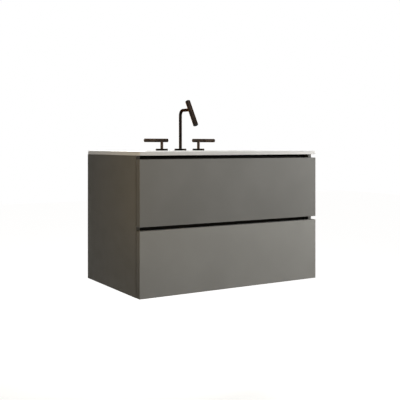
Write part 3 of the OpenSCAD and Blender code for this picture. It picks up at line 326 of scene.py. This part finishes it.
def metalFinish(name, look):
    # two tones in soft clouds, and fine lines left by drawing, brushing or turning
    mat, tree, place = newFinish(name)
    cloud = addNode(tree, "TexNoise", {"Vector": place, "Scale": 1 / look["cloud"], "Detail": 4})
    cloud = addNode(tree, "MapRange", {"Value": cloud, "From Min": 0.35, "From Max": 0.68})
    colour = addNode(tree, "Mix", {"data_type": "RGBA", 0: cloud, 6: look["colours"][0],
                                   7: look["colours"][1]})
    laid = addNode(tree, "Mapping", {"Vector": place, "Scale": look["stretch"]})
    lines = addNode(tree, "TexNoise", {"Vector": laid, "Scale": 1 / look["lines"], "Detail": 3})
    rough = addNode(tree, "MapRange", {"Value": lines, "From Min": 0.3, "From Max": 0.7,
                                       "To Min": look["roughness"][0],
                                       "To Max": look["roughness"][1]})
    bump = addNode(tree, "Bump", {"Height": lines, "Strength": look["linesShow"],
                                  "Distance": lineDepth})
    shader = addNode(tree, "BsdfPrincipled", {"Base Color": colour, "Metallic": 1,
                                              "Roughness": rough, "Normal": bump,
                                              "Specular Tint": look.get("rim", "#ffffff")})
    addNode(tree, "OutputMaterial", {"Surface": shader})
    return mat


for name, look in metals.items():
    dress(metalFinish(name, look), *look["on"])
print("metals done")

# Rubber and plastic: flow and grain are the sizes of the patches and of the mould's grain, and body
# holds values that go straight to the shader.

grainDepth = 0.0002  # for rubber and plastic alike
mouldings = {
    # Rubber and silicone, moulded: black and dull, with a grey bloom in patches.
    "mouldedRubber": {"colours": ("#161616", "#232322"), "flow": 0.025, "roughness": (0.62, 0.78),
                      "grain": 0.0012, "grainShows": 0.15,
                      "body": {"IOR": 1.52, "Specular IOR Level": 0.3},
                      "on": ("aerator", "rubber_washers", "upper_bumpers", "lower_bumpers")},
    # Polypropylene, injection moulded: milky white and slightly waxy, with a fine sparked grain.
    "mouldedPolypropylene": {"colours": ("#e6e7e5", "#dcdedc"), "flow": 0.025,
                             "roughness": (0.34, 0.44), "grain": 0.0014, "grainShows": 0.08,
                             "body": {"IOR": 1.49, "Subsurface Weight": 0.15,
                                      "Subsurface Scale": 0.002,
                                      "Subsurface Radius": (1, 0.95, 0.9)},
                             "on": ("slip_nuts", "trap_body", "trap_cup", "outlet_pipe")}}


def mouldedFinish(name, look):
    # two close tones in patches, as it flowed in the mould, and the mould's fine grain
    mat, tree, place = newFinish(name)
    flow = addNode(tree, "TexNoise", {"Vector": place, "Scale": 1 / look["flow"], "Detail": 3})
    cloud = addNode(tree, "MapRange", {"Value": flow, "From Min": 0.4, "From Max": 0.7})
    colour = addNode(tree, "Mix", {"data_type": "RGBA", 0: cloud, 6: look["colours"][0],
                                   7: look["colours"][1]})
    rough = addNode(tree, "MapRange", {"Value": flow, "From Min": 0.3, "From Max": 0.7,
                                       "To Min": look["roughness"][0],
                                       "To Max": look["roughness"][1]})
    grain = addNode(tree, "TexNoise", {"Vector": place, "Scale": 1 / look["grain"], "Detail": 2})
    bump = addNode(tree, "Bump", {"Height": grain, "Strength": look["grainShows"],
                                  "Distance": grainDepth})
    shader = addNode(tree, "BsdfPrincipled", {"Base Color": colour, "Roughness": rough,
                                              "Normal": bump, **look["body"]})
    addNode(tree, "OutputMaterial", {"Surface": shader})
    return mat


for name, look in mouldings.items():
    dress(mouldedFinish(name, look), *look["on"])
print("rubber and plastic done")

# Worktop with its moulded basin: deck is the height of its upper face, cuts are the segments of a
# rounding, rings are the steps of a wall, and a cutter runs past the face that it starts from.

basin = {"deck": 0.084, "top": 0.016, "corner": 0.005, "cornerCuts": 8, "ease": 0.0015,
         "easeCuts": 4, "bowlWide": 0.5, "bowlLong": 0.3, "bowlBack": 0.14, "bowlCorner": 0.07,
         "bowlCuts": 12, "rim": 0.0035, "rimAngles": (8, 24, 40, 56, 72), "wallStart": 3,
         "wallRings": 26, "sweep": 0.09, "floor": -0.026, "floorCorner": 0.05, "floorRings": 8,
         "skin": 0.012, "skinRings": 18, "skinCuts": 10, "rodSides": 96, "past": 0.01,
         "bowlPast": 0.004, "sharp": 38}
waste = {"place": (0, -0.27, 0), "seat": -0.031, "seatRadius": 0.034, "flange": 0.0321,
         "flangeThick": 0.003, "bore": 0.02195, "boss": 0.045, "bossLow": -0.048, "bossHigh": -0.03}
overflow = {"place": (0, -0.14456, 0.05), "lean": 14.9, "ring": 0.0151, "ringDeep": 0.0015,
            "hole": 0.012, "holeDeep": 0.017, "duct": 0.01, "ductWide": 0.058, "ductDown": 0.014}
taps = {"back": -0.068, "pitch": 0.1016, "hole": 0.016, "deep": 0.03}
bowlMiddle = -basin["bowlBack"] - basin["bowlLong"] / 2


def cornerPoints(ring):  # the centres of a ring's four corners
    wide, long, corner, middle, height = ring
    x, y = wide / 2 - corner, long / 2 - corner
    signs = [(sx, sy) for sx in (-1, 1) for sy in (-1, 1)]
    return {(sx, sy): Vector((sx * x, middle + sy * y, height)) for sx, sy in signs}


def loft(rings, cuts):
    # A closed solid through rounded rectangles, each (width, length, corner, middle y, height): the
    # first face is extruded from ring to ring, and its four corners are moved and scaled.
    bm = bmesh.new()
    wide, long, corner, middle, height = rings[0]
    bmesh.ops.create_grid(bm, x_segments=1, y_segments=1, size=0.5)
    bmesh.ops.scale(bm, vec=(wide, long, 1), verts=bm.verts)
    bmesh.ops.translate(bm, vec=(0, middle, height), verts=bm.verts)
    bmesh.ops.bevel(bm, geom=bm.verts[:], offset=corner, segments=cuts, profile=0.5,
                    affect="VERTICES", material=-1)
    old = rings[0]
    face = bm.faces[:][0]
    for ring in rings[1:]:
        out = bmesh.ops.extrude_face_region(bm, geom=[face])
        if old is not rings[0]:  # only the first stays, to close the shape
            bmesh.ops.delete(bm, geom=[face], context="FACES_ONLY")
        face = [f for f in out["geom"] if isinstance(f, bmesh.types.BMFace)][0]
        before, after = cornerPoints(old), cornerPoints(ring)
        groups = {}
        for sx, sy in before:
            groups[sx, sy] = [vert for vert in face.verts
                              if vert.co.x * sx > 0 and (vert.co.y - old[3]) * sy > 0]
        grow = ring[2] / old[2]
        for key, verts in groups.items():
            bmesh.ops.scale(bm, vec=(grow, grow, 1), verts=verts,
                            space=Matrix.Translation(-before[key]))
            bmesh.ops.translate(bm, vec=after[key] - before[key], verts=verts)
        old = ring
    bmesh.ops.recalc_face_normals(bm, faces=bm.faces)
    return bm


def asObject(bm, name, mat=None):  # a shape as an object of the scene
    mesh = bpy.data.meshes.new(name)
    bm.to_mesh(mesh)
    bm.free()
    piece = bpy.data.objects.new(name, mesh)
    scene.collection.objects.link(piece)
    if mat:
        mesh.materials.append(mat)
    return piece


def asShape(piece):  # an object's mesh as a loose shape, and the object gone
    bm = bmesh.new()
    bm.from_mesh(piece.data)
    bpy.data.objects.remove(piece)
    return bm


def carve(piece, kind, bm):  # joins a shape to a piece, or cuts it away, for good
    tool = asObject(bm, "carveTool")
    change = piece.modifiers.new("carve", "BOOLEAN")
    change.operation, change.solver, change.object = kind, "EXACT", tool
    bpy.context.view_layer.update()
    carved = piece.evaluated_get(bpy.context.evaluated_depsgraph_get())
    made = bpy.data.meshes.new_from_object(carved)
    piece.modifiers.clear()
    old, piece.data = piece.data, made
    bpy.data.meshes.remove(old)
    bpy.data.objects.remove(tool)


def rod(radius, low, high, place, lean=0):
    # an upright rod from low to high, leaned about X and then put in its place
    bm = bmesh.new()
    bmesh.ops.create_cone(bm, cap_ends=True, segments=basin["rodSides"], radius1=radius,
                          radius2=radius, depth=high - low)
    bmesh.ops.translate(bm, vec=(0, 0, (low + high) / 2), verts=bm.verts)
    turn = Matrix.Rotation(math.radians(lean), 3, "X")
    bmesh.ops.rotate(bm, cent=(0, 0, 0), matrix=turn, verts=bm.verts)
    bmesh.ops.translate(bm, vec=place, verts=bm.verts)
    return bm


def block(low, high):  # a box between two corners
    bm = bmesh.new()
    bmesh.ops.create_cube(bm, size=1)
    size = Vector(high) - Vector(low)
    bmesh.ops.scale(bm, vec=size, verts=bm.verts)
    bmesh.ops.translate(bm, vec=Vector(low) + size / 2, verts=bm.verts)
    return bm


def rimRing(angle):
    # the bowl's mouth, where its rounded rim has turned through angle from the deck
    out = basin["rim"] * (1 - math.sin(angle))
    down = basin["rim"] * (1 - math.cos(angle))
    return (basin["bowlWide"] + 2 * out, basin["bowlLong"] + 2 * out, basin["bowlCorner"] + out,
            bowlMiddle, basin["deck"] - down)


def wallRing(angle, grow, low):
    # the bowl's outline, where its wall has turned through angle towards the floor at low; with
    # grow it is the outline of the skin, which starts half way through the top
    turned = 1 - math.cos(angle)
    inset = basin["sweep"] * turned
    bend = (basin["floorCorner"] - basin["bowlCorner"]) * turned
    high = basin["deck"] - basin["top"] / 2 if grow else basin["deck"]
    return (basin["bowlWide"] - 2 * inset + 2 * grow, basin["bowlLong"] - 2 * inset + 2 * grow,
            basin["bowlCorner"] + bend + grow, bowlMiddle, high + (low - high) * math.sin(angle))


def bowlSkin(grow):  # the outside of the bowl as a solid lump
    count = basin["skinRings"]
    rings = [wallRing(math.radians(90 * i / count), grow, basin["floor"] - grow)
             for i in range(count + 1)]
    return loft(rings, basin["skinCuts"])


def bowlHollow():  # a rounded rim, walls that turn in, and a floor that falls to the waste
    rings = [rimRing(math.radians(angle)) for angle in basin["rimAngles"]]
    rings.insert(0, rings[0][:4] + (basin["deck"] + basin["bowlPast"],))
    start, count = basin["wallStart"], basin["wallRings"]
    rings += [wallRing(math.radians(start + (90 - start) * i / count), 0, basin["floor"])
              for i in range(count + 1)]
    radius = waste["seatRadius"]
    floor, seat = rings[-1], (2 * radius, 2 * radius, radius, waste["place"][1], waste["seat"])
    for i in range(1, basin["floorRings"] + 1):
        share = i / basin["floorRings"]
        eased = share * share * (3 - 2 * share)  # level at the floor and at the seat
        outline = tuple(a + (b - a) * share for a, b in zip(floor[:4], seat[:4]))
        rings.append(outline + (floor[4] + (seat[4] - floor[4]) * eased,))
    return loft(rings, basin["bowlCuts"])


def ductShape():  # the overflow's duct, a strip of a thicker skin behind the bowl
    duct = asObject(bowlSkin(basin["skin"] + overflow["duct"]), "duct")
    half = overflow["ductWide"] / 2
    carve(duct, "INTERSECT", block((-half, waste["place"][1], waste["bossLow"]),
                                   (half, 0, basin["deck"] - overflow["ductDown"])))
    return asShape(duct)


mineral = {"white": "#efeeeb", "deep": "#eae9e5", "cloud": 0.143, "haze": 0.00417,
           "hazeDepth": 0.0002, "hazeShows": 0.012, "roughness": (0.27, 0.35)}


def mineralFinish():
    # Mineral marble, cast under a polyester gelcoat, flatted and polished to satin: a warm white
    # whose faint haze of polishing marks softens the reflections.
    mat, tree, place = newFinish("castMineralGelcoat")
    cloud = addNode(tree, "TexNoise", {"Vector": place, "Scale": 1 / mineral["cloud"], "Detail": 1})
    cloud = addNode(tree, "MapRange", {"Value": cloud, "From Min": 0.3, "From Max": 0.7})
    colour = addNode(tree, "Mix", {"data_type": "RGBA", 0: cloud, 6: mineral["white"],
                                   7: mineral["deep"]})
    haze = addNode(tree, "TexNoise", {"Vector": place, "Scale": 1 / mineral["haze"], "Detail": 2})
    rough = addNode(tree, "MapRange", {"Value": haze, "From Min": 0.3, "From Max": 0.7,
                                       "To Min": mineral["roughness"][0],
                                       "To Max": mineral["roughness"][1]})
    bump = addNode(tree, "Bump", {"Height": haze, "Strength": mineral["hazeShows"],
                                  "Distance": mineral["hazeDepth"]})
    shader = addNode(tree, "BsdfPrincipled", {"Base Color": colour, "Roughness": rough,
                                              "Normal": bump, "IOR": 1.5,
                                              "Subsurface Weight": 0.08,
                                              "Subsurface Scale": 0.003,
                                              "Subsurface Radius": (1, 0.95, 0.9)})
    addNode(tree, "OutputMaterial", {"Surface": shader})
    return mat


def isUpright(edge):  # a millimetre of rise tells a corner from a rim
    return abs(edge.verts[0].co.z - edge.verts[1].co.z) > 0.001


def smoothOver(piece, sharp):  # smooth where it curves, with edges sharper than an angle kept
    piece.data.shade_smooth()
    piece.data.set_sharp_from_angle(angle=math.radians(sharp))
    even = piece.modifiers.new("evenNormals", "WEIGHTED_NORMAL")
    even.keep_sharp = True


def makeWorktop():
    # a slab with rounded corners and eased edges, joined to the bowl's skin, duct and boss, then
    # hollowed and bored
    low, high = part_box("worktop_basin")
    bm = block((low.x, low.y, basin["deck"] - basin["top"]), (high.x, high.y, basin["deck"]))
    corners = [edge for edge in bm.edges if isUpright(edge)]
    bmesh.ops.bevel(bm, geom=corners, offset=basin["corner"], segments=basin["cornerCuts"],
                    profile=0.5, affect="EDGES", material=-1)
    rims = [edge for edge in bm.edges if not isUpright(edge)]
    bmesh.ops.bevel(bm, geom=rims, offset=basin["ease"], segments=basin["easeCuts"],
                    profile=0.5, affect="EDGES", material=-1)
    piece = asObject(bm, "worktopBasin", mineralFinish())
    carve(piece, "UNION", bowlSkin(basin["skin"]))
    carve(piece, "UNION", ductShape())
    carve(piece, "UNION", rod(waste["boss"], waste["bossLow"], waste["bossHigh"], waste["place"]))
    carve(piece, "DIFFERENCE", bowlHollow())
    past, lean = basin["past"], 90 - overflow["lean"]
    holes = [(waste["flange"], waste["seat"] - waste["flangeThick"], 0, waste["place"]),
             (waste["bore"], waste["bossLow"] - past, 0, waste["place"]),
             (overflow["ring"], -overflow["ringDeep"], past, overflow["place"], lean),
             (overflow["hole"], -overflow["holeDeep"], past, overflow["place"], lean)]
    for x in (-taps["pitch"], 0, taps["pitch"]):
        holes.append((taps["hole"], basin["deck"] - taps["deep"], basin["deck"] + past,
                      (x, taps["back"], 0)))
    for hole in holes:
        carve(piece, "DIFFERENCE", rod(*hole))
    smoothOver(piece, basin["sharp"])
    return piece


worktop = makeWorktop()
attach(worktop, "cabinet")
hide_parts("worktop_basin")
print("worktop done,", len(worktop.data.polygons), "faces")

# Threads, which the frame's own solids leave as plain cylinders: crest, flank and root are shares
# of the pitch. The rod that shapes a thread stands over its crests and past its ends, and the
# waste's thread leaves 2 mm plain at both ends.

threads = {"crest": 0.25, "flank": 0.35, "root": 0.05, "around": 40, "over": 0.0004, "past": 0.001,
           "sleeve": 0.002, "join": 0.00001, "sliver": 0.000003, "sharp": 34,
           "supply": {"radius": 0.01048, "pitch": 0.001814, "depth": 0.00115, "low": 0.0085,
                      "high": 0.0225},
           "shank": {"radius": 0.013, "pitch": 0.002, "depth": 0.0011, "low": 0.0425,
                     "high": 0.0665},
           "waste": {"radius": 0.02095, "pitch": 0.002309, "depth": 0.0013,
                     "low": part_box("waste_body")[0].z + 0.002, "high": waste["bossLow"] - 0.002}}


def threadedRod(thread):
    # one tooth after another up a line, spun round while it climbs by a pitch, joined where the
    # turns meet, and cut off level
    pitch, depth = thread["pitch"], thread["depth"] + threads["over"]
    low, high = thread["low"] - threads["past"], thread["high"] + threads["past"]
    tooth = ((0, threads["crest"]), (-depth, threads["flank"]), (0, threads["root"]),
             (depth, threads["flank"]))
    bm = bmesh.new()
    start = (thread["radius"] + threads["over"], 0, low - 2 * pitch)
    tip = bmesh.ops.create_vert(bm, co=start)["vert"][0]
    while tip.co.z < high + pitch:
        for out, up in tooth:
            tip = bmesh.ops.extrude_vert_indiv(bm, verts=[tip])["verts"][0]
            bmesh.ops.translate(bm, vec=(out, 0, up * pitch), verts=[tip])
    count = threads["around"]
    bmesh.ops.spin(bm, geom=bm.verts[:] + bm.edges[:], cent=(0, 0, 0), axis=(0, 0, 1),
                   dvec=(0, 0, pitch / count), angle=2 * math.pi, steps=count)
    bmesh.ops.remove_doubles(bm, verts=bm.verts, dist=threads["join"])
    for height, away in ((low, -1), (high, 1)):
        bmesh.ops.bisect_plane(bm, geom=bm.verts[:] + bm.edges[:] + bm.faces[:],
                               plane_co=(0, 0, height), plane_no=(0, 0, away), clear_outer=True)
        rim = [edge for edge in bm.edges if edge.is_boundary
               and all(abs(v.co.z - height) < threads["join"] for v in edge.verts)]
        bmesh.ops.holes_fill(bm, edges=rim, sides=0)
    bmesh.ops.recalc_face_normals(bm, faces=bm.faces)
    return bm


def cutThread(piece, thread, x, y):
    # the groove is what a plain sleeve loses where the threaded rod fills it
    radius = thread["radius"] + threads["sleeve"]
    sleeve = asObject(rod(radius, thread["low"], thread["high"], (0, 0, 0)), "sleeve")
    carve(sleeve, "DIFFERENCE", threadedRod(thread))
    groove = asShape(sleeve)
    bmesh.ops.translate(groove, vec=(x, y, 0), verts=groove.verts)
    carve(piece, "DIFFERENCE", groove)


def fromNode(node, name):  # a copy of a node's solid, its loose triangles joined
    bm = bmesh.new()
    bm.from_mesh(nodes[node].data)
    bmesh.ops.remove_doubles(bm, verts=bm.verts, dist=threads["join"])
    bmesh.ops.recalc_face_normals(bm, faces=bm.faces)
    return asObject(bm, name, nodes[node].data.materials[0])


def settle(piece, node, body):  # slivers joined, shaded, and told to the frame
    bm = bmesh.new()
    bm.from_mesh(piece.data)
    bmesh.ops.remove_doubles(bm, verts=bm.verts, dist=threads["sliver"])
    bm.to_mesh(piece.data)
    bm.free()
    smoothOver(piece, threads["sharp"])
    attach(piece, body)
    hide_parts(node)
    print(piece.name, len(piece.data.polygons), "faces")


# the aerator's jets are moulded in black silicone, which sheds lime
settle(fromNode("aerator", "siliconeAerator"), "aerator", "spout")
valves = fromNode("valve_bodies", "threadedValves")
for x in (-taps["pitch"], taps["pitch"]):
    cutThread(valves, threads["supply"], x, taps["back"])
    cutThread(valves, threads["shank"], x, taps["back"])
settle(valves, "valve_bodies", "cabinet")
shank = fromNode("spout_shank", "threadedShank")
cutThread(shank, threads["shank"], 0, taps["back"])
settle(shank, "spout_shank", "cabinet")
tail = fromNode("waste_body", "threadedWaste")
cutThread(tail, threads["waste"], 0, waste["place"][1])
settle(tail, "waste_body", "cabinet")

# floor, lamps and world: lift is the glow of the floor for the eye, low near the object and high
# far from it, and reach is where it starts and stops rising

studio = {"floor": -1.15, "floorSize": 24, "fibre": 0.0167, "paper": ("#e8e7e4", "#e4e3e0"),
          "lift": (0.55, 0.96), "reach": (1.6, 2.6), "fill": "#fff1d8", "fillStrength": 0.04}
lamps = {"key": {"place": (2.2, -1.4, 0.5), "aim": (0.2, -0.5, -0.2), "size": 0.8, "power": 46,
                 "tint": "#ffffff", "spread": 180},
         "side": {"place": (-1.3, -0.8, 0.15), "aim": (-0.45, -0.55, -0.08), "size": 0.25,
                  "power": 0.46, "tint": "#ffe0aa", "spread": 84},
         "front": {"place": (0.2, -2.5, -0.6), "aim": (0, -0.5, -0.2), "size": 1.2, "power": 7,
                   "tint": "#fffefb", "spread": 180},
         "back": {"place": (0.3, 2.2, -0.15), "aim": (0, 0, -0.2), "size": 1.2, "power": 30,
                  "tint": "#fffdf8", "spread": 180},
         "top": {"place": (0, -0.2, 2.0), "aim": (0, -0.3, 0), "size": 1.2, "power": 30,
                 "tint": "#ffffff", "spread": 180}}


def addLamp(name, setting):  # a square soft box turned to its aim
    light = bpy.data.lights.new(name, "AREA")
    light.energy = setting["power"]
    light.size = setting["size"]
    light.color = toLinear(setting["tint"])[:3]
    light.spread = math.radians(setting["spread"])
    lamp = bpy.data.objects.new(name, light)
    place = Vector(setting["place"])
    lamp.location = place
    lamp.rotation_euler = (Vector(setting["aim"]) - place).to_track_quat("-Z", "Y").to_euler()
    scene.collection.objects.link(lamp)


def seenDirectly(tree):  # 1 for the eye and for what gloss and glass show
    rays = addNode(tree, "LightPath").outputs
    seen = addNode(tree, "Math", {"operation": "MAXIMUM", 0: rays["Is Camera Ray"],
                                  1: rays["Is Glossy Ray"]})
    return addNode(tree, "Math", {"operation": "MAXIMUM", 0: seen,
                                  1: rays["Is Transmission Ray"]})


for name, setting in lamps.items():
    addLamp(name + "Lamp", setting)
world = bpy.data.worlds.new("studioWorld")
scene.world = world
world.use_nodes = True
tree = world.node_tree
tree.nodes.clear()
fill = addNode(tree, "Background", {"Color": studio["fill"], "Strength": studio["fillStrength"]})
white = addNode(tree, "Background", {"Color": "#ffffff", "Strength": 1})
either = addNode(tree, "MixShader", {0: seenDirectly(tree), 1: fill, 2: white})
addNode(tree, "OutputWorld", {"Surface": either})

# Seamless paper: matt and pale, lifted to white for the eye, and less so near the object, where it
# still takes the shadow.
paper, tree, place = newFinish("seamlessPaper")
fibre = addNode(tree, "TexNoise", {"Vector": place, "Scale": 1 / studio["fibre"], "Detail": 3})
tone = addNode(tree, "Mix", {"data_type": "RGBA", 0: fibre, 6: studio["paper"][0],
                             7: studio["paper"][1]})
matt = addNode(tree, "BsdfDiffuse", {"Color": tone})
away = addNode(tree, "VectorMath", {"operation": "LENGTH", 0: place})
lift = addNode(tree, "MapRange", {"interpolation_type": "SMOOTHSTEP", "Value": away,
                                  "From Min": studio["reach"][0], "From Max": studio["reach"][1],
                                  "To Min": studio["lift"][0], "To Max": studio["lift"][1]})
lift = addNode(tree, "Math", {"operation": "MULTIPLY", 0: seenDirectly(tree), 1: lift})
glow = addNode(tree, "Emission", {"Color": "#ffffff", "Strength": lift})
addNode(tree, "OutputMaterial", {"Surface": addNode(tree, "AddShader", {0: matt, 1: glow})})
bm = bmesh.new()
bmesh.ops.create_grid(bm, x_segments=1, y_segments=1, size=studio["floorSize"] / 2)
bmesh.ops.translate(bm, vec=(0, 0, studio["floor"]), verts=bm.verts)
asObject(bm, "studioFloor", paper)
print("studio done")
